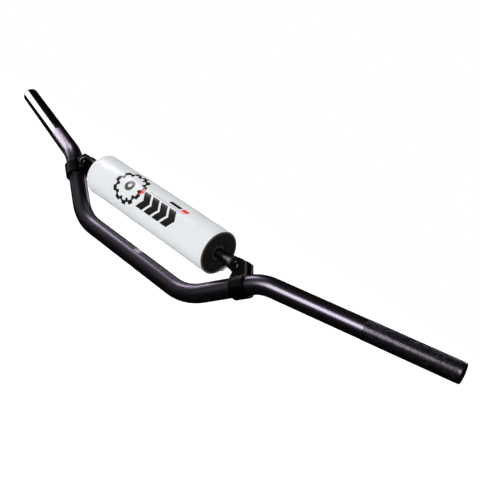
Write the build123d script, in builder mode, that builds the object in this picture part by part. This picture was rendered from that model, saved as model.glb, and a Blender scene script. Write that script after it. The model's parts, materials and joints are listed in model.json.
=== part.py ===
from build123d import *
from math import atan2, cos, degrees, radians, sin, tan
import os

# Motocross handlebar with a clamped crossbar and a roll pad.
# Frame: +X toward the rider's left (the clutch side), -Y toward the front of the motorcycle, +Z up.
# Origin: the middle of the straight centre section, on the tube's axis.
# Left and right are the rider's. Units: millimetres.

os.makedirs("parts", exist_ok=True)

# ---- the bent tube -------------------------------------------------------
tube_radius = 11.1
tube_bore_radius = 7.0
centre_half = 104.5          # middle of the bar to the corner of the lower bend
riser_angle = 37.0           # riser above the horizontal
riser_length = 100.0         # corner to corner
grip_length = 227.0          # corner of the upper bend to the tip
sweep_angle = 13.0           # grips sweep back
rise_angle = 8.3             # grips climb outward
lower_bend_radius = 72.0
upper_bend_radius = 55.0
end_chamfer = 0.6

# ---- the crossbar --------------------------------------------------------
crossbar_radius = 6.35
crossbar_height = 60.8
bolt_x = 150.6
tang_thickness = 8.0
tang_height = 16.0
neck_start = 126.0
neck_end = 137.0
groove_x = 123.0
groove_width = 1.6
groove_depth = 0.5

# ---- the clamps ----------------------------------------------------------
clamp_bore_radius = 11.12
clamp_ring_radius = 14.3
clamp_width = 18.5
clamp_depth = 18.0           # outer face of one ear to outer face of the other
clamp_along_riser = 74.85    # corner of the lower bend to the middle of the ring
slot_width = 8.1
eye_radius = 9.1
eye_lift = 0.8               # the ear's rounding sits a little above the bolt
bolt_hole_radius = 3.2
clamp_edge = 0.7

# ---- the fasteners -------------------------------------------------------
bolt_radius = 3.0
bolt_length = 30.0
head_radius = 5.25
head_height = 3.3
head_rounding = 2.3
socket_flat = 2.0            # half the width across the flats
socket_depth = 2.1
washer_radius = 6.2
washer_thickness = 1.6
nut_flat = 5.0               # half the width across the flats
nut_hex_height = 4.5
nut_height = 6.0
nut_collar_radius = 4.7
nut_bore_radius = 3.05
insert_radius = 4.1
insert_bore_radius = 3.02
insert_height = 1.3

# ---- the roll pad --------------------------------------------------------
pad_half = 113.3
foam_radius = 25.6
foam_bore_radius = 6.4
cover_thickness = 0.8
panel_thickness = 1.0
panel_hole_radius = 6.9
binding_ring_radius = 24.4
binding_radius = 1.1
slit_width = 1.2
closure_angle = -38.0        # the closure faces the rear, a little below level
flap_span = 44.0             # degrees round the pad
strip_start = 5.0
strip_end = 40.0
strip_thickness = 0.8
strip_half = 107.0

sides = {"left": 1, "right": -1}

riser_direction = Vector(cos(radians(riser_angle)), 0, sin(radians(riser_angle)))
lower_corner = Vector(centre_half, 0, 0)
upper_corner = lower_corner + riser_direction * riser_length
grip_direction = Vector(
    cos(radians(sweep_angle)) * cos(radians(rise_angle)),
    sin(radians(sweep_angle)) * cos(radians(rise_angle)),
    sin(radians(rise_angle)),
)
grip_tip = upper_corner + grip_direction * grip_length
clamp_middle = lower_corner + riser_direction * clamp_along_riser


def mirrored(point, side):
    """The same point on the chosen side of the bar."""
    return Vector(point.X * side, point.Y, point.Z)


def bend_ends(before, corner, after, radius):
    """Where an arc of this radius leaves and meets the two lines at a corner, and its middle."""
    inward = (before - corner).normalized()
    onward = (after - corner).normalized()
    half_turn = radians(180 - inward.get_angle(onward)) / 2
    setback = radius * tan(half_turn)
    halfway = (inward + onward).normalized()
    middle = corner + halfway * (radius / cos(half_turn) - radius)
    return corner + inward * setback, middle, corner + onward * setback


# ---- tube ----------------------------------------------------------------
corners = [
    mirrored(grip_tip, -1),
    mirrored(upper_corner, -1),
    mirrored(lower_corner, -1),
    lower_corner,
    upper_corner,
    grip_tip,
]
bend_radii = [upper_bend_radius, lower_bend_radius, lower_bend_radius, upper_bend_radius]

with BuildPart() as handlebar_tube:
    with BuildLine() as bar_axis:
        reached = corners[0]
        for index, radius in enumerate(bend_radii, start=1):
            start, middle, end = bend_ends(*corners[index - 1 : index + 2], radius)
            Line(reached, start)
            ThreePointArc(start, middle, end)
            reached = end
        Line(reached, corners[-1])
    with BuildSketch(Plane(origin=corners[0], z_dir=corners[1] - corners[0])):
        Circle(tube_radius)
        Circle(tube_bore_radius, mode=Mode.SUBTRACT)
    sweep()
    rims = [
        edge
        for edge in handlebar_tube.edges().filter_by(GeomType.CIRCLE)
        if abs(edge.radius - tube_radius) < 0.01 and abs(edge.center().X) > grip_tip.X - 1
    ]
    chamfer(rims, end_chamfer)

handlebar_tube.part.label = "handlebar_tube"
export_step(handlebar_tube.part, "parts/handlebar_tube.step")


# ---- crossbar ------------------------------------------------------------
def across(x):
    """The plane across the crossbar at x, with its own x to the rear and its y up."""
    return Plane(origin=(x, 0, crossbar_height), x_dir=(0, 1, 0), z_dir=(1, 0, 0))


with BuildPart() as crossbar:
    with BuildSketch(across(-neck_start)):
        Circle(crossbar_radius)
    extrude(amount=2 * neck_start)
    for side in sides.values():
        with BuildSketch(across(side * neck_start)):
            Circle(crossbar_radius)
        with BuildSketch(across(side * neck_end)):
            RectangleRounded(tang_thickness, tang_height, tang_thickness / 2 - 0.6)
        loft()
        with BuildSketch(across(side * neck_end)):
            RectangleRounded(tang_thickness, tang_height, tang_thickness / 2 - 0.6)
        extrude(amount=side * (bolt_x - neck_end))
        with BuildSketch(
            Plane(
                origin=(side * bolt_x, -tang_thickness / 2, crossbar_height),
                x_dir=(1, 0, 0),
                z_dir=(0, 1, 0),
            )
        ):
            Circle(tang_height / 2)
        extrude(amount=tang_thickness)
        with Locations(Location((side * bolt_x, 0, crossbar_height), (90, 0, 0))):
            Cylinder(bolt_hole_radius, 2 * tang_height, mode=Mode.SUBTRACT)
        with BuildSketch(across(side * groove_x)):
            Circle(crossbar_radius + 1)
            Circle(crossbar_radius - groove_depth, mode=Mode.SUBTRACT)
        extrude(amount=groove_width / 2, both=True, mode=Mode.SUBTRACT)

crossbar.part.label = "crossbar"
export_step(crossbar.part, "parts/crossbar.step")

# ---- clamps --------------------------------------------------------------
for name, side in sides.items():
    along = mirrored(riser_direction, side)
    middle = mirrored(clamp_middle, side)
    bolt_point = Vector(side * bolt_x, 0, crossbar_height)
    normal = Vector(-side * sin(radians(riser_angle)), 0, cos(radians(riser_angle)))
    eye_s = (bolt_point - middle).dot(along)
    eye_n = (bolt_point - middle).dot(normal)
    ear_plane = Plane(origin=middle, x_dir=along, z_dir=along.cross(normal))
    up = (along.Z, normal.Z)
    out = (abs(along.X), -abs(normal.X))
    half = clamp_width / 2
    round_s = eye_s
    round_n = eye_n + eye_lift
    top_s = round_s + up[0] * eye_radius
    top_n = round_n + up[1] * eye_radius
    corner_n = top_n + (half - top_s) / out[0] * out[1]

    with BuildPart() as clamp:
        with BuildSketch(ear_plane):
            Polygon(
                (-half, 0),
                (half, 0),
                (half, corner_n),
                (top_s, top_n),
                (round_s, round_n),
                (-half, clamp_ring_radius - 2.5),
                align=None,
            )
            with Locations((round_s, round_n)):
                Circle(eye_radius)
        extrude(amount=clamp_depth / 2, both=True)
        chamfer(
            [
                edge
                for edge in clamp.edges()
                if abs(abs(edge.center().Y) - clamp_depth / 2) < 0.01
                and (edge.center() - middle).dot(normal) > clamp_ring_radius
            ],
            clamp_edge,
        )
        with BuildSketch(Plane(origin=middle, z_dir=along)) as ring_section:
            Circle(clamp_ring_radius)
        extrude(amount=half, both=True)
        with BuildSketch(Plane(origin=middle, z_dir=along)):
            Circle(clamp_bore_radius)
        extrude(amount=clamp_width, both=True, mode=Mode.SUBTRACT)
        with BuildSketch(ear_plane):
            with Locations((0, 25)):
                Rectangle(2 * clamp_width, 50)
        extrude(amount=slot_width / 2, both=True, mode=Mode.SUBTRACT)
        with Locations(Location(tuple(bolt_point), (90, 0, 0))):
            Cylinder(bolt_hole_radius, 2 * clamp_depth, mode=Mode.SUBTRACT)
        chamfer(
            [
                edge
                for edge in clamp.edges().filter_by(GeomType.CIRCLE)
                if abs(edge.radius - clamp_ring_radius) < 0.01
            ],
            clamp_edge,
        )
    clamp.part.label = f"clamp_{name}"
    export_step(clamp.part, f"parts/clamp_{name}.step")

# ---- bolts, washers, lock nuts -------------------------------------------
front_face = -clamp_depth / 2
rear_face = clamp_depth / 2


def facing_rear(x, y):
    """The plane across a clamp bolt at y, facing the rear."""
    return Plane(origin=(x, y, crossbar_height), x_dir=(1, 0, 0), z_dir=(0, 1, 0))


for name, side in sides.items():
    x = side * bolt_x

    with BuildPart() as bolt:
        with BuildSketch(facing_rear(x, front_face - head_height)):
            Circle(head_radius)
        extrude(amount=head_height)
        fillet(bolt.faces().sort_by(Axis.Y)[0].edges(), head_rounding)
        with BuildSketch(facing_rear(x, front_face)):
            Circle(bolt_radius)
        extrude(amount=bolt_length)
        chamfer(bolt.faces().sort_by(Axis.Y)[-1].edges(), 0.6)
        with BuildSketch(facing_rear(x, front_face - head_height)):
            RegularPolygon(socket_flat, 6, major_radius=False)
        extrude(amount=socket_depth, mode=Mode.SUBTRACT)
    bolt.part.label = f"clamp_bolt_{name}"
    export_step(bolt.part, f"parts/clamp_bolt_{name}.step")

    with BuildPart() as washer:
        with BuildSketch(facing_rear(x, rear_face)):
            Circle(washer_radius)
            Circle(bolt_hole_radius, mode=Mode.SUBTRACT)
        extrude(amount=washer_thickness)
    washer.part.label = f"washer_{name}"
    export_step(washer.part, f"parts/washer_{name}.step")

    nut_face = rear_face + washer_thickness
    with BuildPart() as nut:
        with BuildSketch(facing_rear(x, nut_face)):
            RegularPolygon(nut_flat, 6, major_radius=False)
        extrude(amount=nut_hex_height)
        with BuildSketch(facing_rear(x, nut_face)):
            Circle(nut_flat * 1.09)
        extrude(amount=nut_hex_height, mode=Mode.INTERSECT)
        with BuildSketch(facing_rear(x, nut_face + nut_hex_height)):
            Circle(nut_collar_radius)
        extrude(amount=nut_height - nut_hex_height)
        with BuildSketch(facing_rear(x, nut_face)):
            Circle(nut_bore_radius)
        extrude(amount=nut_height, mode=Mode.SUBTRACT)
        with BuildSketch(facing_rear(x, nut_face + nut_hex_height)):
            Circle(insert_radius)
        extrude(amount=nut_height, mode=Mode.SUBTRACT)
    nut.part.label = f"lock_nut_{name}"
    export_step(nut.part, f"parts/lock_nut_{name}.step")

    with BuildPart() as insert:
        with BuildSketch(facing_rear(x, nut_face + nut_hex_height)):
            Circle(insert_radius)
            Circle(insert_bore_radius, mode=Mode.SUBTRACT)
        extrude(amount=insert_height)
    insert.part.label = f"nut_insert_{name}"
    export_step(insert.part, f"parts/nut_insert_{name}.step")


# ---- roll pad ------------------------------------------------------------
def wedge(start, end, reach=60):
    """A wedge from the axis outward, between two angles in degrees."""
    steps = 4
    rim = []
    for step in range(steps + 1):
        angle = radians(start + (end - start) * step / steps)
        rim.append((reach * cos(angle), reach * sin(angle)))
    return [(0, 0)] + rim


def slit():
    """The slot that lets the pad open, from the axis out through the closure side."""
    with Locations(Rotation(0, 0, closure_angle)):
        Rectangle(60, slit_width, align=(Align.MIN, Align.CENTER), mode=Mode.SUBTRACT)


foam_half = pad_half - panel_thickness
cover_radius = foam_radius + cover_thickness
flap_inner = cover_radius + 2 * strip_thickness
flap_outer = flap_inner + cover_thickness

with BuildPart() as pad_foam:
    with BuildSketch(across(-foam_half)):
        Circle(foam_radius)
        Circle(foam_bore_radius, mode=Mode.SUBTRACT)
        slit()
    extrude(amount=2 * foam_half)
pad_foam.part.label = "pad_foam"
export_step(pad_foam.part, "parts/pad_foam.step")

web_turn = degrees(cover_thickness / cover_radius)
slit_turn = degrees(slit_width / 2 / cover_radius)
web_start = closure_angle - slit_turn - web_turn
web_end = closure_angle - slit_turn
with BuildPart() as pad_cover:
    with BuildSketch(across(-pad_half)):
        Circle(cover_radius)
        Circle(foam_radius, mode=Mode.SUBTRACT)
        slit()
    extrude(amount=2 * pad_half)
    with BuildSketch(across(-pad_half)):
        Circle(flap_outer)
        Circle(foam_radius, mode=Mode.SUBTRACT)
        Polygon(*wedge(web_start, web_end), align=None, mode=Mode.INTERSECT)
    extrude(amount=2 * pad_half)
    with BuildSketch(across(-pad_half)):
        Circle(flap_outer)
        Circle(flap_inner, mode=Mode.SUBTRACT)
        Polygon(*wedge(web_start, closure_angle + flap_span), align=None, mode=Mode.INTERSECT)
    extrude(amount=2 * pad_half)
pad_cover.part.label = "pad_cover"
export_step(pad_cover.part, "parts/pad_cover.step")

strips = {
    "loop_strip": cover_radius,
    "hook_strip": cover_radius + strip_thickness,
}
for name, inner in strips.items():
    with BuildPart() as strip:
        with BuildSketch(across(-strip_half)):
            Circle(inner + strip_thickness)
            Circle(inner, mode=Mode.SUBTRACT)
            Polygon(
                *wedge(closure_angle + strip_start, closure_angle + strip_end),
                align=None,
                mode=Mode.INTERSECT,
            )
        extrude(amount=2 * strip_half)
    strip.part.label = name
    export_step(strip.part, f"parts/{name}.step")

for name, side in sides.items():
    with BuildPart() as panel:
        with BuildSketch(across(side * foam_half)):
            Circle(foam_radius)
            Circle(panel_hole_radius, mode=Mode.SUBTRACT)
            slit()
        extrude(amount=side * panel_thickness)
    panel.part.label = f"pad_end_{name}"
    export_step(panel.part, f"parts/pad_end_{name}.step")

    with BuildPart() as binding:
        with BuildSketch(Plane.XZ):
            with Locations((side * pad_half, crossbar_height + binding_ring_radius)):
                Circle(binding_radius)
                Rectangle(
                    2 * binding_radius,
                    2 * binding_radius,
                    align=(Align.MAX if side > 0 else Align.MIN, Align.CENTER),
                    mode=Mode.SUBTRACT,
                )
        revolve(axis=Axis((0, 0, crossbar_height), (1, 0, 0)))
        with BuildSketch(across(side * (pad_half - 1))):
            with Locations(Rotation(0, 0, closure_angle)):
                Rectangle(60, slit_width, align=(Align.MIN, Align.CENTER))
        extrude(amount=side * (binding_radius + 2), mode=Mode.SUBTRACT)
    binding.part.label = f"binding_{name}"
    export_step(binding.part, f"parts/binding_{name}.step")
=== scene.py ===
import json
from math import cos, exp, pi, radians, sin, tau

import bmesh
import bpy
import numpy as np
from mathutils import Matrix, Vector
from mathutils.bvhtree import BVHTree


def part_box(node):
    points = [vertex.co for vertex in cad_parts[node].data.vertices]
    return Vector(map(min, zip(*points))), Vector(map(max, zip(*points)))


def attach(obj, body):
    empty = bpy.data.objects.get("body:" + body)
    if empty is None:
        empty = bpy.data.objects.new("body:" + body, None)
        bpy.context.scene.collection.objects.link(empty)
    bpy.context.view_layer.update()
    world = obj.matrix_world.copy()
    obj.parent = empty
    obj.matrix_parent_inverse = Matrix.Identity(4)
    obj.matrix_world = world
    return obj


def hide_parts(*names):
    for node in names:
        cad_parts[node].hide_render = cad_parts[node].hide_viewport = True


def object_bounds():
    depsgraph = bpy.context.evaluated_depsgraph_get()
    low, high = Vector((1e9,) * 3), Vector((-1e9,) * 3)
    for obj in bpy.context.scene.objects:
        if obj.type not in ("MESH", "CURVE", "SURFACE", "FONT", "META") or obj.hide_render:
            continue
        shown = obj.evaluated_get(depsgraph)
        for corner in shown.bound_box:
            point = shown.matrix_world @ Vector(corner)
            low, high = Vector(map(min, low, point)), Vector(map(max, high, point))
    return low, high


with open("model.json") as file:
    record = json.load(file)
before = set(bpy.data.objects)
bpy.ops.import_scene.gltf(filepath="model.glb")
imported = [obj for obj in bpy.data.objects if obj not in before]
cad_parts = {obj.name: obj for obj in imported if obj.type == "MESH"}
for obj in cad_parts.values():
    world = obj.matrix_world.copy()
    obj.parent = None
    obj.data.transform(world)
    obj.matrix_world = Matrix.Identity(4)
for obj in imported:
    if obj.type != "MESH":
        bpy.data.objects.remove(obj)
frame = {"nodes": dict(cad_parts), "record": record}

cad_low, cad_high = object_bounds()
MM = 0.001

# ---- sizes ------------------------------------------------------------------
# Those that the frame holds are read from it. The others repeat the CAD part's own.
mounts = {mount["name"]: mount for mount in frame["record"]["mounts"]}
tube_radius = mounts["stem_clamp"]["dims"]["r_mm"] * MM
bore_radius = 7.0 * MM
end_chamfer = 0.6 * MM
grip_direction = Vector(mounts["left_grip_seat"]["axis"])
riser_angle = radians(37.0)
riser_direction = Vector((cos(riser_angle), 0, sin(riser_angle)))
centre_half = 104.5 * MM
riser_length = 100 * MM
grip_length = 227 * MM
lower_corner = Vector((centre_half, 0, 0))
upper_corner = lower_corner + riser_direction * riser_length
grip_tip = upper_corner + grip_direction * grip_length
lower_bend_radius = 72 * MM
upper_bend_radius = 55 * MM

foam_low, foam_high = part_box("pad_foam")
cover_low, cover_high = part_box("pad_cover")
nut_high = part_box("lock_nut_left")[1]
bolt_low, bolt_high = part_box("clamp_bolt_left")
pad_z = (foam_low[2] + foam_high[2]) / 2
pad_half = cover_high[0]
cover_outer = -cover_low[1]
foam_outer = foam_high[1]
cover_thickness = cover_outer - foam_outer
strip_thickness = 0.8 * MM
foam_bore = 6.4 * MM
panel_hole = 6.9 * MM
closure_angle = -38.0        # degrees round the crossbar from the rear, as every turn on the pad
flap_span = 44.0
strip_start, strip_end = 5, 40


# ---- node trees --------------------------------------------------------------
class Wire:
    """One output of a node. Sums and comparisons on it add Math nodes to its tree."""

    def __init__(self, tree, socket):
        self.tree = tree
        self.socket = socket

    def also(self, name):
        """Another output of the same node."""
        return Wire(self.tree, self.socket.node.outputs[name])

    def math(self, operation, *terms, clamp=False):
        made = self.tree.nodes.new("ShaderNodeMath")
        made.operation = operation
        made.use_clamp = clamp
        for place, term in zip(made.inputs, terms):
            join(self.tree, term, place)
        return Wire(self.tree, made.outputs[0])

    def __add__(self, other):
        return self.math("ADD", self, other)

    def __radd__(self, other):
        return self.math("ADD", other, self)

    def __sub__(self, other):
        return self.math("SUBTRACT", self, other)

    def __rsub__(self, other):
        return self.math("SUBTRACT", other, self)

    def __mul__(self, other):
        return self.math("MULTIPLY", self, other)

    def __rmul__(self, other):
        return self.math("MULTIPLY", other, self)

    def __truediv__(self, other):
        return self.math("DIVIDE", self, other)

    def __pow__(self, other):
        return self.math("POWER", self, other)

    def __gt__(self, other):
        return self.math("GREATER_THAN", self, other)

    def __lt__(self, other):
        return self.math("LESS_THAN", self, other)

    def __abs__(self):
        return self.math("ABSOLUTE", self)

    def sine(self):
        return self.math("SINE", self)

    def cosine(self):
        return self.math("COSINE", self)

    def whole(self):
        return self.math("FLOOR", self)

    def zigzag(self):
        """0 at whole numbers and 1 half way between them."""
        return self.math("PINGPONG", self, 0.5) * 2

    def clamped(self):
        return self.math("ADD", self, 0.0, clamp=True)


def join(tree, value, place):
    """Links a wire to a socket, or sets the socket's value."""
    if isinstance(value, Wire):
        tree.links.new(value.socket, place)
    elif value is not None:
        place.default_value = value


class Net:
    """A node tree that is being written."""

    def __init__(self, tree):
        self.tree = tree

    def node(self, kind, settings=None, sockets=None, out=0):
        """Adds a node, its settings first and its sockets after, and gives one of its outputs."""
        made = self.tree.nodes.new(kind)
        for name, value in (settings or {}).items():
            setattr(made, name, value)
        for name, value in (sockets or {}).items():
            join(self.tree, value, made.inputs[name])
        return Wire(self.tree, made.outputs[out]) if len(made.outputs) else made

    def vector(self, x=0.0, y=0.0, z=0.0):
        return self.node("ShaderNodeCombineXYZ", None, {0: x, 1: y, 2: z})

    def parts(self, vector):
        split = self.node("ShaderNodeSeparateXYZ", None, {0: vector})
        return split, split.also("Y"), split.also("Z")

    def vectors(self, operation, *terms, out=0):
        sockets = dict(enumerate(terms))
        return self.node("ShaderNodeVectorMath", {"operation": operation}, sockets, out)

    def colour(self, share, low, high, blend="MIX"):
        """From one colour to another, or one laid over the other."""
        settings = {"data_type": "RGBA", "blend_type": blend}
        return self.node("ShaderNodeMix", settings, {0: share, 6: low, 7: high}, 2)

    def blend(self, share, low, high):
        """From one value to another."""
        return (high - low) * share + low

    def noise(self, place, scale, detail=2.0, roughness=0.5, out=0):
        sockets = {"Vector": place, "Scale": scale, "Detail": detail, "Roughness": roughness}
        return self.node("ShaderNodeTexNoise", None, sockets, out)

    def bump(self, height, distance, strength=1.0, normal=None):
        sockets = {"Height": height, "Distance": distance, "Strength": strength, "Normal": normal}
        return self.node("ShaderNodeBump", None, sockets)


def band(value, low, high, soft):
    """1 between two limits, with a soft edge."""
    return ((value - low) / soft + 0.5).clamped() * ((high - value) / soft + 0.5).clamped()


def rgb(red, green, blue):
    return (red, green, blue, 1.0)


def material(name, paint, **fixed):
    """A material whose shader takes fixed values here and changing ones from paint(net, place)."""
    made = bpy.data.materials.new(name)
    made.use_nodes = True
    tree = made.node_tree
    tree.nodes.clear()
    net = Net(tree)
    shader = tree.nodes.new("ShaderNodeBsdfPrincipled")
    output = tree.nodes.new("ShaderNodeOutputMaterial")
    tree.links.new(shader.outputs[0], output.inputs[0])
    place = net.node("ShaderNodeTexCoord", None, None, "Object")
    for socket, value in fixed.items():
        shader.inputs[socket.replace("_", " ").title().replace("Ior", "IOR")].default_value = value
    for socket, value in paint(net, place).items():
        join(tree, value, shader.inputs[socket])
    return made


# ---- metal finishes ------------------------------------------------------------
polished_length = 157 * MM
etched_bars = ((6.4, 8.2), (9.2, 9.8), (10.8, 13.2), (14.2, 14.8), (15.6, 16.2))
worn_bars = ((-17.2, -14.2), (-13.4, -12.8))
# length of the painted shade at the throttle tip
dark_tip_length = 3 * MM


def paint_anodised_tube(net, place):
    """Satin anodising, bright-dipped at the throttle end, with etched marks at the middle, and painted
    shade: the last millimetres at the throttle tip are coloured darker.
    """
    x, y, z = net.parts(place)
    tip = Vector((-grip_tip.x, grip_tip.y, grip_tip.z))
    inward = (grip_direction.x, -grip_direction.y, -grip_direction.z)
    from_tip = net.vectors("SUBTRACT", place, tuple(tip))
    reach = net.vectors("DOT_PRODUCT", from_tip, inward, out="Value")
    polished = ((polished_length - reach) / (1.2 * MM) + 0.5).clamped()
    blasted = net.noise(place, 2600, 2)
    cloudy = net.noise(place, 45, 3)
    turn = z.math("ARCTAN2", z, y * -1)
    mark = 0.0
    for bars, lowest, strength in ((etched_bars, 44, 1.0), (worn_bars, 66, 0.45)):
        for start, end in bars:
            bar = band(x, start * MM, end * MM, 0.15 * MM)
            mark = bar * band(turn, radians(lowest), radians(104), radians(3)) * strength + mark
    mark = (mark * (net.noise(place, 900, 2) * 1.8 - 0.1)).clamped()
    # painted shade: the throttle tip's last 3 mm get a darker colour, and a rougher finish, so the
    # highlight stops short of the tip
    rough_dark_tip = ((dark_tip_length - reach) / (1.2 * MM) + 0.5).clamped()
    base = net.colour(cloudy, rgb(0.075, 0.064, 0.087), rgb(0.091, 0.079, 0.104))
    base = net.colour(polished, base, rgb(0.086, 0.084, 0.087))
    base = net.colour(mark, base, rgb(0.78, 0.77, 0.79))
    base = net.colour(rough_dark_tip, base, rgb(0.020, 0.018, 0.022))
    rough = net.blend(polished, cloudy * 0.05 + 0.275, blasted * 0.02 + 0.07)
    rough = net.blend((mark + rough_dark_tip).clamped(), rough, 0.5)
    height = blasted * net.blend(polished, 0.010, 0.0012)
    metal = net.blend(mark, 0.98, 0.15)
    return {"Base Color": base, "Roughness": rough, "Metallic": metal, "Normal": net.bump(height, MM)}


def paint_knurl(net, place):
    """The same anodising, worn paler on the diamonds' tops."""
    wear = (net.noise(place, 330, 2) * 6.0 - 2.6).clamped()
    patches = (net.noise(place, 50, 2) * 1.5 - 0.35).clamped()
    grain = net.noise(place, 3000, 1)
    base = net.colour(wear * patches, rgb(0.012, 0.010, 0.015), rgb(0.125, 0.112, 0.138))
    return {"Base Color": base, "Roughness": grain * 0.12 + 0.36, "Normal": net.bump(grain * 0.02, MM)}


def paint_black_metal(net, place):
    """Bead-blasted black anodising with a little handling polish."""
    grain = net.noise(place, 2200, 2)
    rubbed = (net.noise(place, 70, 3) * 1.8 - 0.5).clamped()
    base = net.colour(rubbed, rgb(0.0045, 0.0040, 0.0052), rgb(0.010, 0.009, 0.011))
    return {
        "Base Color": base,
        "Roughness": rubbed * -0.10 + 0.38 + grain * 0.06,
        "Normal": net.bump(grain * 0.018, MM),
    }


def paint_crossbar(net, place):
    """Turned bar: fine rings round the rod, smoother on the pressed ends, whose lighter colour is a
    painted highlight.
    """
    x, y, z = net.parts(place)
    rings = net.noise(net.vector(x * 3500, y * 40, z * 40), 1.0, 2)
    pressed_ends_and_sheen = ((abs(x) - 128 * MM) / (8 * MM)).clamped()
    # painted highlight: the pressed ends near the clamps are coloured lighter, standing in for the light
    # they catch; their smoother finish is real
    base = net.colour(pressed_ends_and_sheen, rgb(0.026, 0.025, 0.026), rgb(0.042, 0.040, 0.040))
    rough = net.blend(pressed_ends_and_sheen, 0.30 + rings * 0.12, 0.24 + rings * 0.05)
    return {"Base Color": base, "Roughness": rough, "Normal": net.bump(rings * 0.02 * (1 - pressed_ends_and_sheen), MM)}


def paint_black_oxide(net, place):
    blotch = net.noise(place, 420, 3)
    base = net.colour(blotch, rgb(0.014, 0.014, 0.016), rgb(0.034, 0.033, 0.036))
    return {"Base Color": base, "Roughness": blotch * 0.14 + 0.14, "Normal": net.bump(blotch * 0.02, MM)}


def paint_zinc(net, place):
    """Bright zinc with a faint yellow passivation."""
    blotch = net.noise(place, 260, 4)
    base = net.colour(blotch, rgb(0.62, 0.63, 0.66), rgb(0.70, 0.67, 0.58))
    return {"Base Color": base, "Roughness": blotch * 0.16 + 0.20, "Normal": net.bump(blotch * 0.03, MM)}


def paint_nylon(net, place):
    grain = net.noise(place, 900, 2)
    base = net.colour(grain, rgb(0.03, 0.10, 0.36), rgb(0.05, 0.15, 0.45))
    return {"Base Color": base, "Roughness": grain * 0.1 + 0.4}


tube_finish = material("anodised_tube_satin", paint_anodised_tube)
knurl_finish = material("anodised_knurl", paint_knurl, metallic=0.97)
clamp_finish = material("anodised_clamp_black", paint_black_metal, metallic=0.95, specular_ior_level=0.2)
crossbar_finish = material("anodised_crossbar_black", paint_crossbar, metallic=0.93)
bolt_finish = material("bolt_black_oxide", paint_black_oxide, metallic=0.9)
zinc_finish = material("zinc_plate", paint_zinc, metallic=1.0)
nylon_finish = material("nylon_blue", paint_nylon)

# ---- soft finishes -------------------------------------------------------------
ink = rgb(0.012, 0.011, 0.010)
grey_ink = rgb(0.075, 0.072, 0.070)
pale_ink = rgb(0.50, 0.51, 0.53)
red_ink = rgb(0.80, 0.03, 0.015)
white_vinyl = rgb(0.692, 0.713, 0.727)
white_vinyl_cool = rgb(0.664, 0.688, 0.706)


def printed_panel(across, up):
    """The print on the pad, in millimetres along and round it: a toothed ring, chevrons and bars."""
    edge = 0.25
    ring_x, ring_v = -37.0, 9.0
    dx = (across - ring_x) * 0.96
    dv = up - ring_v
    reach = (dx * dx + dv * dv) ** 0.5
    teeth = (dx.math("ARCTAN2", dv, dx) * (11 / tau)).zigzag()
    tooth = ((teeth - 0.32) * 6).clamped() * 3.4
    toothed_ring = band(reach - tooth, 15.6, 21.0, edge)
    hub = band(reach, -1.0, 7.0, edge)
    hub_hole = band(reach, -1.0, 2.6, edge)
    arrow = band(across - ring_x - 25.2 + abs(dv - 2.0) * 0.9, -4.0, 1.8, edge)
    arrow = arrow * band(across - ring_x, 21.5, 29.5, edge)
    chevrons = 0.0
    middle, width, half_height = 3.0, 12.2, 10.8
    for start in (-3.0, 12.8, 28.6, 44.4):
        shape = band(across + abs(up - middle) * 0.75, start, start + width, edge)
        chevrons = shape + chevrons
    chevrons = chevrons * band(up, middle - half_height, middle + half_height, edge)
    short_bar = band(across - up * 0.5, 18.0, 38.0, edge) * band(up, 18.8, 22.6, edge)
    red_bar = band(across - up * 0.5, 40.5, 51.0, edge) * band(up, 18.4, 22.8, edge)
    pale_bar = band(across - up * 0.4, -13.0, 52.0, edge) * band(up, 15.2, 17.4, edge)
    black = (toothed_ring + chevrons + short_bar).clamped()
    grey = (hub - hub_hole).clamped()
    red = (arrow + red_bar).clamped()
    return black, grey, red, pale_bar


def paint_vinyl(net, place):
    """White coated fabric with a fine leather grain and the print."""
    lie = net.node("ShaderNodeUVMap", {"uv_map": "lie"})
    u, v, _ = net.parts(lie)
    across = (u - 0.5) * (2 * pad_half / MM)
    up = (v - 0.5) * (tau * cover_outer / MM)
    black, grey, red, pale = printed_panel(across, up)
    cells = net.node("ShaderNodeTexVoronoi", {"feature": "DISTANCE_TO_EDGE"}, {
        "Vector": place, "Scale": 850.0,
    })
    grain = (cells * 7).clamped()
    soiled = (net.noise(place, 28, 4) * 1.5 - 0.3).clamped()
    base = net.colour(soiled, white_vinyl, white_vinyl_cool)
    base = net.colour(pale, base, pale_ink)
    base = net.colour(grey, base, grey_ink)
    base = net.colour(black, base, ink)
    base = net.colour(red, base, red_ink)
    printed = (black + grey + red + pale).clamped()
    height = grain * 0.012 + net.noise(place, 60, 2) * 0.25 + printed * 0.03
    return {
        "Base Color": base,
        "Roughness": net.blend(printed, 0.29 + soiled * 0.05, 0.22) + grain * 0.02,
        "Normal": net.bump(height, MM, 0.8),
    }


def weave(net, place, pitch):
    """Over-and-under threads on the plane across the bar, as a height from 0 to 1."""
    _, y, z = net.parts(place)
    a = y / pitch
    b = z / pitch
    over = ((a.whole() + b.whole()) / 2).math("FRACT", (a.whole() + b.whole()) / 2) > 0.25
    warp = ((a * tau / 2).sine() ** 2) ** 0.5
    weft = ((b * tau / 2).sine() ** 2) ** 0.5
    return net.blend(over, warp, weft)


def paint_panel_fabric(net, place):
    """Heavy black nylon, woven, faded brown where it catches dust."""
    thread = weave(net, place, 0.55 * MM)
    dust = net.noise(place, 90, 4)
    base = net.colour(dust, rgb(0.0055, 0.0042, 0.0030), rgb(0.011, 0.0086, 0.0062))
    base = net.colour(thread * 0.35, base, rgb(0.019, 0.0155, 0.012))
    return {"Base Color": base, "Roughness": dust * 0.15 + 0.62, "Normal": net.bump(thread * 0.12, MM)}


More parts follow.
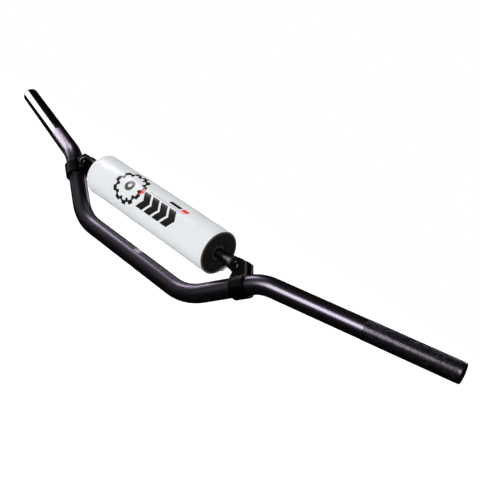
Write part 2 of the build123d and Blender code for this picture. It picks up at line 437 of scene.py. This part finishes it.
def paint_tape(net, place):
    """Ribbed binding tape."""
    _, y, z = net.parts(place)
    turn = z.math("ARCTAN2", z - pad_z, y)
    ribs = (turn * (260 / tau)).zigzag()
    base = net.colour(ribs, rgb(0.030, 0.026, 0.021), rgb(0.085, 0.076, 0.064))
    return {"Base Color": base, "Roughness": 0.55 + ribs * 0.1, "Normal": net.bump(ribs * 0.12, MM)}


def paint_thread(net, place):
    ply = (net.noise(place, 2600, 1) * 1.4 - 0.2).clamped()
    base = net.colour(ply, rgb(0.34, 0.34, 0.34), rgb(0.55, 0.55, 0.55))
    return {"Base Color": base, "Roughness": ply * 0.1 + 0.5}


def paint_dark_thread(net, place):
    ply = (net.noise(place, 2600, 1) * 1.4 - 0.2).clamped()
    base = net.colour(ply, rgb(0.03, 0.027, 0.024), rgb(0.08, 0.07, 0.06))
    return {"Base Color": base, "Roughness": ply * 0.1 + 0.5}


def paint_foam(net, place):
    """Dark open-cell foam."""
    cells = net.node("ShaderNodeTexVoronoi", {"feature": "F1"}, {"Vector": place, "Scale": 700.0})
    base = net.colour(cells, rgb(0.008, 0.008, 0.009), rgb(0.05, 0.05, 0.052))
    return {"Base Color": base, "Roughness": cells * 0.1 + 0.85, "Normal": net.bump(cells * 0.5, MM)}


def paint_fuzz(net, place):
    """Hook and loop tape."""
    fibres = net.noise(place, 1500, 4, 0.8)
    base = net.colour(fibres, rgb(0.008, 0.008, 0.008), rgb(0.06, 0.06, 0.06))
    return {"Base Color": base, "Roughness": fibres * 0.1 + 0.85, "Normal": net.bump(fibres * 0.5, MM)}


vinyl_finish = material("white_vinyl_printed", paint_vinyl, specular_ior_level=0.3)
panel_finish = material("black_panel_fabric", paint_panel_fabric, specular_ior_level=0.2)
tape_finish = material("binding_tape", paint_tape)
thread_finish = material("white_thread", paint_thread)
dark_thread_finish = material("dark_thread", paint_dark_thread)
foam_finish = material("dark_foam", paint_foam)
fuzz_finish = material("hook_and_loop", paint_fuzz)

paired_finishes = {
    "clamp": clamp_finish,
    "clamp_bolt": bolt_finish,
    "washer": zinc_finish,
    "lock_nut": zinc_finish,
    "nut_insert": nylon_finish,
}
node_finishes = {"crossbar": crossbar_finish}
for name, finish in paired_finishes.items():
    for word in ("left", "right"):
        node_finishes[name + "_" + word] = finish
for node, finish in node_finishes.items():
    shown = frame["nodes"][node]
    for place in shown.material_slots:
        place.material = finish


# ---- pieces --------------------------------------------------------------------
def link(piece):
    bpy.context.scene.collection.objects.link(piece)
    return piece


def plain_piece(name, points, faces, finish, smooth=True):
    """A mesh object from points and faces."""
    mesh = bpy.data.meshes.new(name)
    mesh.from_pydata([tuple(point) for point in points], [], faces)
    mesh.materials.append(finish)
    mesh.polygons.foreach_set("use_smooth", [smooth] * len(mesh.polygons))
    mesh.update()
    return link(bpy.data.objects.new(name, mesh))


def outward(piece):
    """Merges doubles and turns the faces outward."""
    work = bmesh.new()
    work.from_mesh(piece.data)
    bmesh.ops.remove_doubles(work, verts=work.verts, dist=1e-6)
    bmesh.ops.recalc_face_normals(work, faces=work.faces)
    work.to_mesh(piece.data)
    work.free()


def evaluated_mesh(piece):
    """The mesh that a piece's modifiers make."""
    bpy.context.view_layer.update()
    graph = bpy.context.evaluated_depsgraph_get()
    return bpy.data.meshes.new_from_object(
        piece.evaluated_get(graph), preserve_all_data_layers=True, depsgraph=graph
    )


def settle(piece):
    """Applies a piece's modifiers, leaving a plain mesh."""
    mesh = evaluated_mesh(piece)
    piece.modifiers.clear()
    piece.data = mesh


def loft_faces(points, row, stations, closed=True):
    """Quads between each row of points and the next, going on to the first row after the last."""
    faces = []
    for station in range(stations):
        for step in range(row if closed else row - 1):
            a = station * row + step
            b = station * row + (step + 1) % row
            faces.append((a, b, (b + row) % len(points), (a + row) % len(points)))
    return faces


def geometry_tree(name, inputs):
    """An empty geometry tree with named inputs, and its Net and input wires."""
    tree = bpy.data.node_groups.new(name, "GeometryNodeTree")
    tree.interface.new_socket("Geometry", in_out="INPUT", socket_type="NodeSocketGeometry")
    for label, kind in inputs.items():
        tree.interface.new_socket(label, in_out="INPUT", socket_type="NodeSocket" + kind)
    tree.interface.new_socket("Geometry", in_out="OUTPUT", socket_type="NodeSocketGeometry")
    net = Net(tree)
    group_in = tree.nodes.new("NodeGroupInput")
    wires = {socket.name: Wire(tree, socket) for socket in group_in.outputs if socket.name}
    return net, wires


def finish_tree(net, geometry, finish):
    """Realize Instances, Set Material, and the output."""
    real = net.node("GeometryNodeRealizeInstances", None, {"Geometry": geometry})
    coated = net.node("GeometryNodeSetMaterial", None, {"Geometry": real, "Material": finish})
    output = net.tree.nodes.new("NodeGroupOutput")
    join(net.tree, coated, output.inputs[0])
    return net.tree


def grow(name, tree, values, points=(), edges=(), numbers=None):
    """Runs a geometry tree on a line of points and keeps the result as a plain mesh."""
    seed = bpy.data.meshes.new(name + "_seed")
    seed.from_pydata([tuple(point) for point in points], list(edges), [])
    for label, column in (numbers or {}).items():
        seed.attributes.new(label, "FLOAT", "POINT").data.foreach_set("value", column)
    carrier = link(bpy.data.objects.new(name + "_seed", seed))
    modifier = carrier.modifiers.new("shape", "NODES")
    modifier.node_group = tree
    for item in tree.interface.items_tree:
        if item.item_type == "SOCKET" and item.in_out == "INPUT" and item.name in values:
            modifier[item.identifier] = values[item.name]
    mesh = evaluated_mesh(carrier)
    bpy.data.objects.remove(carrier)
    mesh.name = name
    return link(bpy.data.objects.new(name, mesh))


# ---- the bent tube ---------------------------------------------------------------
def bent_tube_tree():
    """Rounds a centreline's corners, sweeps the outer wall and the bore, and closes the two rims."""
    net, given = geometry_tree("bent tube", {
        "Tube Radius": "Float",
        "Bore Radius": "Float",
        "Chamfer": "Float",
        "Bend Steps": "Int",
        "Sides": "Int",
        "Tip": "Vector",
        "Finish": "Material",
    })
    line = net.node("GeometryNodeMeshToCurve", None, {"Mesh": given["Geometry"]})
    turn = net.node("GeometryNodeInputNamedAttribute", {"data_type": "FLOAT"}, {"Name": "turn_radius"})
    bent = net.node("GeometryNodeFilletCurve", {"mode": "POLY"}, {
        "Curve": line, "Count": given["Bend Steps"], "Radius": turn, "Limit Radius": False,
    })
    tips = net.node("GeometryNodeCurveEndpointSelection", None, {0: 1, 1: 1})
    narrowed = 1 - tips * (given["Chamfer"] / given["Tube Radius"])
    ring = net.node("GeometryNodeCurvePrimitiveCircle", None, {
        "Resolution": given["Sides"], "Radius": given["Tube Radius"],
    })
    outer = net.node("GeometryNodeCurveToMesh", None, {
        "Curve": bent, "Profile Curve": ring, "Scale": narrowed,
    })
    rim_edges = net.node("GeometryNodeInputMeshEdgeNeighbors") < 1.5
    rims = net.node("GeometryNodeExtrudeMesh", {"mode": "EDGES"}, {
        "Mesh": outer, "Selection": rim_edges, "Offset Scale": 0.0,
    })
    position = net.node("GeometryNodeInputPosition")
    x, _, _ = net.parts(position)
    tip_x, tip_y, tip_z = net.parts(given["Tip"])
    side = x.math("SIGN", x)
    tip = net.vector(tip_x * side, tip_y, tip_z)
    share = given["Bore Radius"] / (given["Tube Radius"] - given["Chamfer"])
    off_axis = net.vectors("SUBTRACT", position, tip)
    inner_rim = net.vectors("ADD", tip, net.node("ShaderNodeVectorMath", {"operation": "SCALE"}, {
        0: off_axis, "Scale": share,
    }))
    closed = net.node("GeometryNodeSetPosition", None, {
        "Geometry": rims, "Selection": rims.also("Top"), "Position": inner_rim,
    })
    bore_ring = net.node("GeometryNodeCurvePrimitiveCircle", None, {
        "Resolution": given["Sides"], "Radius": given["Bore Radius"],
    })
    bore = net.node("GeometryNodeCurveToMesh", None, {"Curve": bent, "Profile Curve": bore_ring})
    bore = net.node("GeometryNodeFlipFaces", None, {"Mesh": bore})
    both = net.tree.nodes.new("GeometryNodeJoinGeometry")
    join(net.tree, closed, both.inputs[0])
    join(net.tree, bore, both.inputs[0])
    whole = net.node("GeometryNodeMergeByDistance", None, {
        "Geometry": Wire(net.tree, both.outputs[0]), "Distance": 0.02 * MM,
    })
    smooth = net.node("GeometryNodeSetShadeSmooth", {"domain": "FACE"}, {"Geometry": whole})
    sharp = net.node("GeometryNodeInputMeshEdgeAngle") > radians(25)
    creased = net.node("GeometryNodeSetShadeSmooth", {"domain": "EDGE"}, {
        "Geometry": smooth, "Selection": sharp, "Shade Smooth": False,
    })
    return finish_tree(net, creased, given["Finish"])


def other_side(point):
    return Vector((-point.x, point.y, point.z))


half_line = [
    (lower_corner, lower_bend_radius),
    (upper_corner, upper_bend_radius),
    (grip_tip - grip_direction * 3 * MM, 0.0),
    (grip_tip - grip_direction * end_chamfer, 0.0),
    (grip_tip, 0.0),
]
line_points = [other_side(point) for point, turn in reversed(half_line)]
line_points += [point for point, turn in half_line]
line_turns = [turn for point, turn in reversed(half_line)]
line_turns += [turn for point, turn in half_line]
tube = grow("handlebar_tube_anodised", bent_tube_tree(), {
    "Tube Radius": tube_radius,
    "Bore Radius": bore_radius,
    "Chamfer": end_chamfer,
    "Bend Steps": 24,
    "Sides": 96,
    "Tip": tuple(grip_tip),
    "Finish": tube_finish,
}, line_points, [(i, i + 1) for i in range(len(line_points) - 1)], {"turn_radius": line_turns})
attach(tube, "bar")
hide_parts("handlebar_tube")


# ---- knurl on the clutch-side grip seat ------------------------------------------
def knurl_tree():
    """Rows of raised diamonds round a cylinder whose axis runs from a tip inward."""
    net, given = geometry_tree("knurl", {
        "Start": "Float",
        "Rows": "Int",
        "Around": "Int",
        "Pitch": "Float",
        "Tube Radius": "Float",
        "Height": "Float",
        "Sink": "Float",
        "Seed": "Int",
        "Tip": "Vector",
        "Inward": "Vector",
        "Finish": "Material",
    })
    index = net.node("GeometryNodeInputIndex")
    row = (index / given["Around"] + 0.0001).whole()
    column = index - row * given["Around"]
    odd = row.math("MODULO", row, 2.0)
    turn = (column + odd * 0.5) / given["Around"] * tau
    radial = net.vector(0.0, turn.cosine(), turn.sine())
    base_radius = given["Tube Radius"] - given["Sink"]
    centre = net.vector(
        given["Start"] + (row + 0.5) * given["Pitch"] * 0.5,
        turn.cosine() * (base_radius + given["Height"] * 0.5),
        turn.sine() * (base_radius + given["Height"] * 0.5),
    )
    dots = net.node("GeometryNodePoints", None, {
        "Count": given["Rows"] * given["Around"], "Position": centre,
    })
    diamond = net.node("GeometryNodeMeshCone", {"fill_type": "NGON"}, {
        "Vertices": 4, "Side Segments": 1, "Fill Segments": 1,
        "Radius Top": 0.10, "Radius Bottom": 0.98, "Depth": 1.0,
    })
    lowered = net.node("GeometryNodeTransform", None, {
        "Geometry": diamond, "Translation": (0.0, 0.0, -0.5),
    })
    worn = net.node("FunctionNodeRandomValue", {"data_type": "FLOAT"}, {
        2: 0.82, 3: 1.0, "Seed": given["Seed"],
    }, 1)
    across = base_radius * pi / given["Around"]
    size = net.vector(given["Pitch"] * 0.5, across, given["Height"] * worn)
    stand = net.node("FunctionNodeAlignRotationToVector", {"axis": "Z"}, {"Vector": radial})
    placed = net.node("GeometryNodeInstanceOnPoints", None, {
        "Points": dots, "Instance": lowered, "Rotation": stand, "Scale": size,
    })
    lie = net.node("FunctionNodeAlignRotationToVector", {"axis": "X"}, {
        "Vector": given["Inward"],
    })
    moved = net.node("GeometryNodeTransform", None, {
        "Geometry": placed, "Translation": given["Tip"], "Rotation": lie,
    })
    return finish_tree(net, moved, given["Finish"])


knurl_start = 3.4 * MM        # from the tube's tip
knurl_length = 100.5 * MM
knurl_pitch = 1.7 * MM
knurl_around = 42
knurl = grow("clutch_side_knurl", knurl_tree(), {
    "Start": knurl_start,
    "Rows": int(knurl_length / (knurl_pitch / 2)),
    "Around": knurl_around,
    "Pitch": knurl_pitch,
    "Tube Radius": tube_radius,
    "Height": 0.30 * MM,
    "Sink": 0.08 * MM,
    "Seed": 5,
    "Tip": tuple(grip_tip),
    "Inward": tuple(-grip_direction),
    "Finish": knurl_finish,
})
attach(knurl, "bar")


# ---- threads on the ends of the clamp bolts ---------------------------------------
def thread_tree():
    """A helical ridge along +Y, copied to each point."""
    net, given = geometry_tree("bolt thread", {
        "Radius": "Float", "Pitch": "Float", "Turns": "Float", "Ridge": "Float", "Finish": "Material",
    })
    helix = net.node("GeometryNodeCurveSpiral", None, {
        "Resolution": 28, "Rotations": given["Turns"], "Start Radius": given["Radius"],
        "End Radius": given["Radius"], "Height": given["Turns"] * given["Pitch"], "Reverse": False,
    })
    ridge = net.node("GeometryNodeCurvePrimitiveCircle", None, {
        "Resolution": 4, "Radius": given["Ridge"],
    })
    swept = net.node("GeometryNodeCurveToMesh", None, {
        "Curve": helix, "Profile Curve": ridge, "Fill Caps": True,
    })
    turned = net.node("GeometryNodeTransform", None, {
        "Geometry": swept, "Rotation": (-pi / 2, 0.0, 0.0),
    })
    dots = net.node("GeometryNodeMeshToPoints", None, {"Mesh": given["Geometry"]})
    placed = net.node("GeometryNodeInstanceOnPoints", None, {"Points": dots, "Instance": turned})
    return finish_tree(net, placed, given["Finish"])


bolt_x = (bolt_low[0] + bolt_high[0]) / 2
thread_start = nut_high[1] + 0.3 * MM
thread_end = bolt_high[1] - 0.7 * MM
thread_pitch = 1.0 * MM
threads = grow("bolt_threads", thread_tree(), {
    "Radius": 2.92 * MM,
    "Pitch": thread_pitch,
    "Turns": (thread_end - thread_start) / thread_pitch,
    "Ridge": 0.26 * MM,
    "Finish": bolt_finish,
}, [(bolt_x, thread_start, pad_z), (-bolt_x, thread_start, pad_z)])
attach(threads, "bar")


# ---- the roll pad -----------------------------------------------------------------
def polar(turn, radius, x):
    """A point at an angle round the crossbar, from the rear towards the top."""
    return Vector((x, radius * cos(radians(turn)), pad_z + radius * sin(radians(turn))))


def turn_apart(turn, other):
    """The degrees between two angles, the short way round."""
    return abs((turn - other + 180) % 360 - 180)


rng = np.random.default_rng(11)
ripple_terms = [
    (rng.uniform(0.6, 2.6), rng.integers(1, 5), rng.uniform(0, tau), rng.uniform(0.4, 1.0))
    for _ in range(9)
]


def ripple(x, turn):
    """Slow, even unevenness of a stuffed cover, from -1 to 1."""
    total = 0.0
    for waves, lobes, shift, weight in ripple_terms:
        total += weight * sin(waves * x / pad_half * pi + lobes * radians(turn) + shift)
    return total / sum(term[3] for term in ripple_terms)


form_radius = cover_outer - 0.9 * MM
blow_steps = 20


def swollen_cover():
    """Blows up a closed roll as cloth, held at its ends and closure, and gives it as a BVH tree."""
    work = bmesh.new()
    bmesh.ops.create_cone(
        work, cap_ends=True, segments=72, radius1=form_radius, radius2=form_radius, depth=2 * pad_half,
        matrix=Matrix.Translation((0, 0, pad_z)) @ Matrix.Rotation(pi / 2, 4, "Y"),
    )
    mesh = bpy.data.meshes.new("roll_form")
    work.to_mesh(mesh)
    work.free()
    form = link(bpy.data.objects.new("roll_form", mesh))
    skin = form.modifiers.new("even", "REMESH")
    skin.mode = "VOXEL"
    skin.voxel_size = 4.5 * MM
    settle(form)
    held = form.vertex_groups.new(name="held")
    for vertex in form.data.vertices:
        x, y, z = vertex.co
        turn = np.degrees(np.arctan2(z - pad_z, y))
        end = abs(x) > pad_half - 5 * MM
        sewn = turn_apart(turn, closure_angle) < 7
        if end or sewn:
            held.add([vertex.index], 1.0, "REPLACE")
    cloth = form.modifiers.new("blow", "CLOTH")
    settings = cloth.settings
    settings.quality = 6
    settings.mass = 0.25
    settings.tension_stiffness = 18
    settings.compression_stiffness = 12
    settings.shear_stiffness = 6
    settings.bending_stiffness = 0.6
    settings.use_pressure = True
    settings.uniform_pressure_force = 4.0
    settings.shrink_min = -0.02
    settings.vertex_group_mass = "held"
    settings.effector_weights.gravity = 0.0
    cloth.collision_settings.use_collision = False
    stage = bpy.context.scene
    stage.frame_start, stage.frame_end = 1, blow_steps
    cloth.point_cache.frame_start, cloth.point_cache.frame_end = 1, blow_steps
    for step in range(1, blow_steps + 1):
        stage.frame_set(step)
    settle(form)
    work = bmesh.new()
    work.from_mesh(form.data)
    tree = BVHTree.FromBMesh(work)
    work.free()
    bpy.data.objects.remove(form)
    stage.frame_set(1)
    return tree


swell_share = 0.15           # a tight cover keeps only this much of the cloth's swell
swell_limit = 0.35 * MM
ripple_height = 0.28 * MM
blown = swollen_cover()


def cover_swell(x, turn):
    """How far the cover stands out or in from a true cylinder."""
    ends = min(1.0, (pad_half - abs(x)) / (9 * MM))
    own = ripple(x, turn) * ripple_height
    if blown is not None:
        inside = max(-pad_half + 6 * MM, min(pad_half - 6 * MM, x))
        start = Vector((inside, 0, pad_z))
        away = (polar(turn, 1.0, inside) - start).normalized()
        hit = blown.ray_cast(start, away)[0]
        if hit is not None:
            swell = (hit - start).length - form_radius
            own += max(-swell_limit, min(swell_limit, swell * swell_share))
    return own * ends


closure_gap = 1.3
flap_radius = cover_outer + 2 * strip_thickness + cover_thickness / 2
skin_radius = cover_outer - cover_thickness / 2


def skin_path():
    """The cover's section from the flap's free edge to the closure: angle, radius, freedom to swell."""
    path = []
    for turn in np.linspace(closure_angle + flap_span, closure_angle + 3, 16):
        path.append((turn, flap_radius, 0.0))
    for share in np.linspace(0, 1, 6)[1:]:
        ease = share * share * (3 - 2 * share)
        radius = flap_radius + (skin_radius - flap_radius) * ease
        path.append((closure_angle + 3 - 8 * share, radius, 0.0))
    last = closure_angle - 360 + closure_gap
    for turn in np.linspace(closure_angle - 8, last, 96):
        free = min(1.0, (closure_angle - turn - 5) / 12, (turn - last) / 12)
        path.append((turn, skin_radius, free))
    return path


hem_inset = 4.2 * MM
hem_depth = 0.28 * MM
hem_width = 0.9 * MM
lip_inset = 1.9 * MM
lip_width = 1.3 * MM


def hem_dip(x):
    """How far the sewn hem near each end pulls the cover in, with a soft lip outside it."""
    from_end = pad_half - abs(x)
    groove = -hem_depth * exp(-(((from_end - hem_inset) / hem_width) ** 2))
    lip = 0.5 * hem_depth * exp(-(((from_end - lip_inset) / lip_width) ** 2))
    return groove + lip


def hemmed_stations(half, spacing):
    """Places along the crossbar, close together round the hems."""
    near_end = np.array([0.0, 0.5, 1.1, 1.8, 2.5, 3.2, 3.8, 4.4, 5.0, 5.8, 7.2]) * MM
    inner = half - near_end[-1]
    middle = np.linspace(-inner, inner, int(2 * inner / spacing))
    return [*(near_end - half), *middle[1:-1], *(half - near_end[::-1])]


def ribbon(name, path, places, finish, thickness, is_cover=False):
    """A strip whose section is a path of angles and radii, run along the crossbar, with a thickness.

    The cover also has hems, its swell, and a UV map that lays it flat."""
    points, lie = [], []
    for x in places:
        for turn, radius, free in path:
            out = 0.0
            if is_cover:
                out = hem_dip(x) + cover_swell(x, turn) * free
            points.append(polar(turn, radius + out, x))
            front = (180 - turn) % 360
            front = front - 360 if front > 180 else front
            lie.append((x / (2 * pad_half) + 0.5, front / 360 + 0.5))
    faces = loft_faces(points, len(path), len(places) - 1, closed=False)
    piece = plain_piece(name, points, faces, finish)
    if is_cover:
        layer = piece.data.uv_layers.new(name="lie")
        for loop in piece.data.loops:
            layer.data[loop.index].uv = lie[loop.vertex_index]
        for polygon in piece.data.polygons:
            values = [layer.data[i].uv[1] for i in polygon.loop_indices]
            if max(values) - min(values) > 0.5:
                for i in polygon.loop_indices:
                    if layer.data[i].uv[1] < 0.5:
                        layer.data[i].uv[1] += 1.0
    shell = piece.modifiers.new("thick", "SOLIDIFY")
    shell.thickness = thickness
    shell.offset = 0.0
    shell.use_even_offset = True
    round_off = piece.modifiers.new("round", "SUBSURF")
    round_off.levels = 1
    round_off.render_levels = 1
    settle(piece)
    return piece


cover_half = pad_half - 0.1 * MM
cover = ribbon(
    "roll_pad_cover", skin_path(), hemmed_stations(cover_half, 4 * MM), vinyl_finish, cover_thickness,
    is_cover=True,
)
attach(cover, "pad")
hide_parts("pad_cover")

strip_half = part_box("loop_strip")[1][0]
for name, node, level in (("loop_tape", "loop_strip", 0.5), ("hook_tape", "hook_strip", 1.5)):
    turns = np.linspace(closure_angle + strip_start, closure_angle + strip_end, 12)
    path = [(turn, cover_outer + level * strip_thickness, 0.0) for turn in turns]
    places = np.linspace(-strip_half, strip_half, 21)
    tape = ribbon(name, path, places, fuzz_finish, strip_thickness * 0.92)
    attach(tape, "pad")
    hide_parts(node)


def foam_core():
    """The foam roll, open along its closure, with softly uneven sides."""
    outer_turns = np.linspace(closure_angle - closure_gap, closure_angle - 360 + closure_gap, 73)
    bore_gap = closure_gap * foam_outer / foam_bore
    inner_turns = np.linspace(closure_angle - 360 + bore_gap, closure_angle - bore_gap, 40)
    outer_radius = foam_outer - 0.25 * MM
    section = [(turn, outer_radius) for turn in outer_turns]
    depths = (0.25, 0.5, 0.75)
    section += [(outer_turns[-1], outer_radius * (1 - s) + foam_bore * s) for s in depths]
    section += [(turn, foam_bore) for turn in inner_turns]
    section += [(outer_turns[0], outer_radius * s + foam_bore * (1 - s)) for s in depths]
    half = foam_high[0] - 0.2 * MM
    stations = 24
    points = []
    for station in range(stations + 1):
        x = half * (station / stations * 2 - 1)
        for turn, radius in section:
            wave = ripple(x, turn) * 0.12 * MM if radius > foam_bore * 1.5 else 0.0
            points.append(polar(turn, radius + wave, x))
    row = len(section)
    faces = loft_faces(points, row, stations)
    faces.append(tuple(range(row)))
    faces.append(tuple(range(stations * row, stations * row + row)))
    piece = plain_piece("roll_pad_foam", points, faces, foam_finish, smooth=False)
    outward(piece)
    return piece


foam = foam_core()
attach(foam, "pad")
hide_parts("pad_foam")


tuck_turn = closure_angle - 4
tuck_half = 24


def end_panel(name, side):
    """A sewn end disc: a soft crown, gathers round the hole, and a tuck at the closure."""
    rings, sides = 26, 144
    inner, outer = panel_hole, foam_outer - 0.05 * MM
    points = []
    for ring in range(rings + 1):
        share = ring / rings
        for step in range(sides):
            turn = step * 360 / sides
            reach = outer
            offset = turn_apart(turn, tuck_turn)
            if offset < tuck_half:
                chord = outer * cos(radians(tuck_half)) / cos(radians(offset))
                reach = min(outer, chord + 0.2 * MM)
            radius = inner + (reach - inner) * share
            crown = sin(pi * min(1.0, share * 1.05)) ** 0.8 * 0.55 * MM
            dip = (1 - share) ** 5 * -1.3 * MM
            lean = radians(turn)
            gather = (1 - share) ** 2.2 * 0.30 * MM * sin(lean * 17 + 0.6 * sin(lean * 3))
            gather += share**6 * 0.10 * MM * sin(lean * 41)
            x = pad_half - 0.62 * MM + crown + dip + gather + ripple(share * 0.1, turn) * 0.12 * MM
            points.append(polar(turn, radius, x * side))
    faces = loft_faces(points, sides, rings)
    if side < 0:
        faces = [face[::-1] for face in faces]
    piece = plain_piece(name, points, faces, panel_finish)
    outward(piece)
    if piece.data.polygons[0].normal.x * side < 0:
        piece.data.flip_normals()
    shell = piece.modifiers.new("thick", "SOLIDIFY")
    shell.thickness = 0.7 * MM
    shell.offset = -1.0
    settle(piece)
    return piece


def piping(name, side):
    """Bound edge of an end disc, slightly uneven."""
    ring_radius = foam_outer - 0.95 * MM
    steps, sections = 180, 10
    points = []
    for step in range(steps):
        turn = step * 360 / steps
        offset = turn_apart(turn, tuck_turn)
        drop = 0.0
        if offset < tuck_half:
            drop = ring_radius * (1 - cos(radians(tuck_half)) / cos(radians(offset)))
        thick = 0.85 * MM * (1 + 0.05 * sin(radians(turn) * 29) + 0.04 * sin(radians(turn) * 11))
        for index in range(sections):
            lean = index * tau / sections
            radius = ring_radius - drop + thick * cos(lean)
            x = pad_half + 0.02 * MM + thick * 0.9 * sin(lean)
            points.append(polar(turn, radius, x * side))
    piece = plain_piece(name, points, loft_faces(points, sections, steps), tape_finish)
    outward(piece)
    return piece


for word, side in (("left", 1), ("right", -1)):
    panel = end_panel("roll_pad_end_" + word, side)
    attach(panel, "pad")
    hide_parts("pad_end_" + word)
    edge = piping("roll_pad_piping_" + word, side)
    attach(edge, "pad")
    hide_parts("binding_" + word)


# ---- stitching ---------------------------------------------------------------------
def stitch_tree():
    """Short thread lengths spaced along lines and turned to follow them."""
    net, given = geometry_tree("stitches", {
        "Pitch": "Float", "Stitch": "Float", "Thread": "Float", "Finish": "Material",
    })
    line = net.node("GeometryNodeMeshToCurve", None, {"Mesh": given["Geometry"]})
    dots = net.node("GeometryNodeCurveToPoints", {"mode": "LENGTH"}, {
        "Curve": line, "Length": given["Pitch"],
    })
    bead = net.node("GeometryNodeMeshUVSphere", None, {"Segments": 8, "Rings": 5, "Radius": 0.5})
    smooth = net.node("GeometryNodeSetShadeSmooth", {"domain": "FACE"}, {"Geometry": bead})
    follow = net.node("FunctionNodeAlignRotationToVector", {"axis": "X"}, {
        "Vector": dots.also("Tangent"),
    })
    size = net.vector(given["Stitch"], given["Thread"], given["Thread"])
    placed = net.node("GeometryNodeInstanceOnPoints", None, {
        "Points": dots, "Instance": smooth, "Rotation": follow, "Scale": size,
    })
    return finish_tree(net, placed, given["Finish"])


def polyline(runs):
    """Points and edges of several open lines."""
    points, edges = [], []
    for run in runs:
        first = len(points)
        points += run
        edges += [(first + i, first + i + 1) for i in range(len(run) - 1)]
    return points, edges


stitches = stitch_tree()
flap_top = flap_radius + cover_thickness / 2
hem_x = pad_half - hem_inset
hem_top = flap_top - hem_depth + 0.04 * MM
hems = []
for turn in (closure_angle + flap_span - 3.5, closure_angle + 6):
    places = np.linspace(-pad_half + 4 * MM, pad_half - 4 * MM, 60)
    hems.append([polar(turn, flap_top + 0.02 * MM, x) for x in places])
for side in (1, -1):
    turns = np.linspace(closure_angle + 4, closure_angle + flap_span - 3, 24)
    hems.append([polar(turn, hem_top, side * hem_x) for turn in turns])
skin_top = skin_radius + cover_thickness / 2 - hem_depth + 0.04 * MM
for side in (1, -1):
    x = side * hem_x
    turns = np.linspace(closure_angle - 12, closure_angle + flap_span - 357, 120)
    hems.append([polar(turn, skin_top + cover_swell(x, turn), x) for turn in turns])
points, edges = polyline(hems)
hem_stitches = grow("hem_stitching", stitches, {
    "Pitch": 3.0 * MM, "Stitch": 2.2 * MM, "Thread": 0.42 * MM, "Finish": thread_finish,
}, points, edges)
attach(hem_stitches, "pad")

seams = []
for side in (1, -1):
    turns = np.linspace(closure_angle + 21, closure_angle + 331, 150)
    x = side * (pad_half + 0.10 * MM)
    seams.append([polar(turn, foam_outer - 2.6 * MM, x) for turn in turns])
points, edges = polyline(seams)
seam_stitches = grow("panel_stitching", stitches, {
    "Pitch": 2.6 * MM, "Stitch": 1.9 * MM, "Thread": 0.40 * MM, "Finish": dark_thread_finish,
}, points, edges)
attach(seam_stitches, "pad")

# ---- floor, light and camera --------------------------------------------------------
floor_drop = 0.30


def paint_floor(net, place):
    cloud = net.noise(place, 3, 2)
    return {"Base Color": net.colour(cloud, rgb(0.90, 0.90, 0.90), rgb(0.92, 0.92, 0.92))}


floor_finish = material(
    "pale_floor", paint_floor, roughness=0.9, emission_strength=0.35, emission_color=rgb(1, 1, 1)
)
floor_reach = 40.0
floor_z = cad_low[2] - floor_drop
floor_corners = [
    (x * floor_reach, y * floor_reach, floor_z) for x, y in ((-1, -1), (1, -1), (1, 1), (-1, 1))
]
floor = plain_piece("floor", floor_corners, [(0, 1, 2, 3)], floor_finish, smooth=False)
floor.visible_glossy = False

world = bpy.data.worlds.new("studio_air")
bpy.context.scene.world = world
world.use_nodes = True
air = world.node_tree.nodes["Background"]
air.inputs[0].default_value = rgb(1, 1, 1)
air.inputs[1].default_value = 1.0
world.cycles_visibility.glossy = False


box_distance = 2.5


def softbox(name, target, direction, width, height, power, glossy=True, diffuse=True, colour=(1, 1, 1)):
    """A rectangular soft light that faces a point from a direction."""
    lamp = bpy.data.lights.new(name, "AREA")
    lamp.shape = "RECTANGLE"
    lamp.size = width
    lamp.size_y = height
    lamp.energy = power
    lamp.color = colour
    box = link(bpy.data.objects.new(name, lamp))
    away = Vector(direction).normalized()
    box.matrix_world = (
        Matrix.Translation(Vector(target) + away * box_distance)
        @ away.to_track_quat("Z", "Y").to_matrix().to_4x4()
    )
    box.visible_glossy = glossy
    box.visible_diffuse = diffuse
    box.visible_camera = False


throttle_side = (-0.30, 0.03, 0.08)
clutch_side = (0.30, 0.03, 0.08)
above_middle = (0.0, 0.0, 0.05)
softbox("throttle_side_box", throttle_side, (-0.975, -0.19, 0.085), 1.3, 1.25, 40, diffuse=False)
softbox("front_box", clutch_side, (-0.14, -1.0, 0.045), 0.85, 1.3, 60, diffuse=False,
        colour=(0.98, 1.0, 0.93))
softbox("upper_box", (0.0, 0.0, 0.0), (-0.80, -0.29, 0.52), 0.8, 0.75, 20, diffuse=False,
        colour=(0.98, 0.90, 0.97))
softbox("rear_box", above_middle, (-0.05, 1.0, 0.80), 1.2, 0.9, 18, diffuse=False)
softbox("clutch_side_box", above_middle, (1.0, -0.30, 0.85), 1.0, 0.8, 10, diffuse=False)
softbox("fill_box", above_middle, (-0.2, -0.9, 0.9), 2.0, 2.0, 5, glossy=False)

view = bpy.data.cameras.new("view")
view.sensor_width = 36.0
view.lens = 64.458
view.shift_x = 0.0037
view.shift_y = 0.0022
view.clip_start = 0.05
view.clip_end = 200.0
camera = link(bpy.data.objects.new("view", view))
camera_place = Vector((0.71282, -0.73868, 0.12476))
camera_right = Vector((0.65574, 0.54786, 0.51948))
camera_up = Vector((-0.43077, -0.29359, 0.85337))
camera_back = Vector((0.62004, -0.78337, 0.04348))
camera.matrix_world = Matrix.Translation(camera_place) @ Matrix((
    camera_right, camera_up, camera_back,
)).transposed().to_4x4()
bpy.context.scene.camera = camera
bpy.context.scene.view_settings.view_transform = "Standard"
bpy.context.scene.view_settings.look = "None"
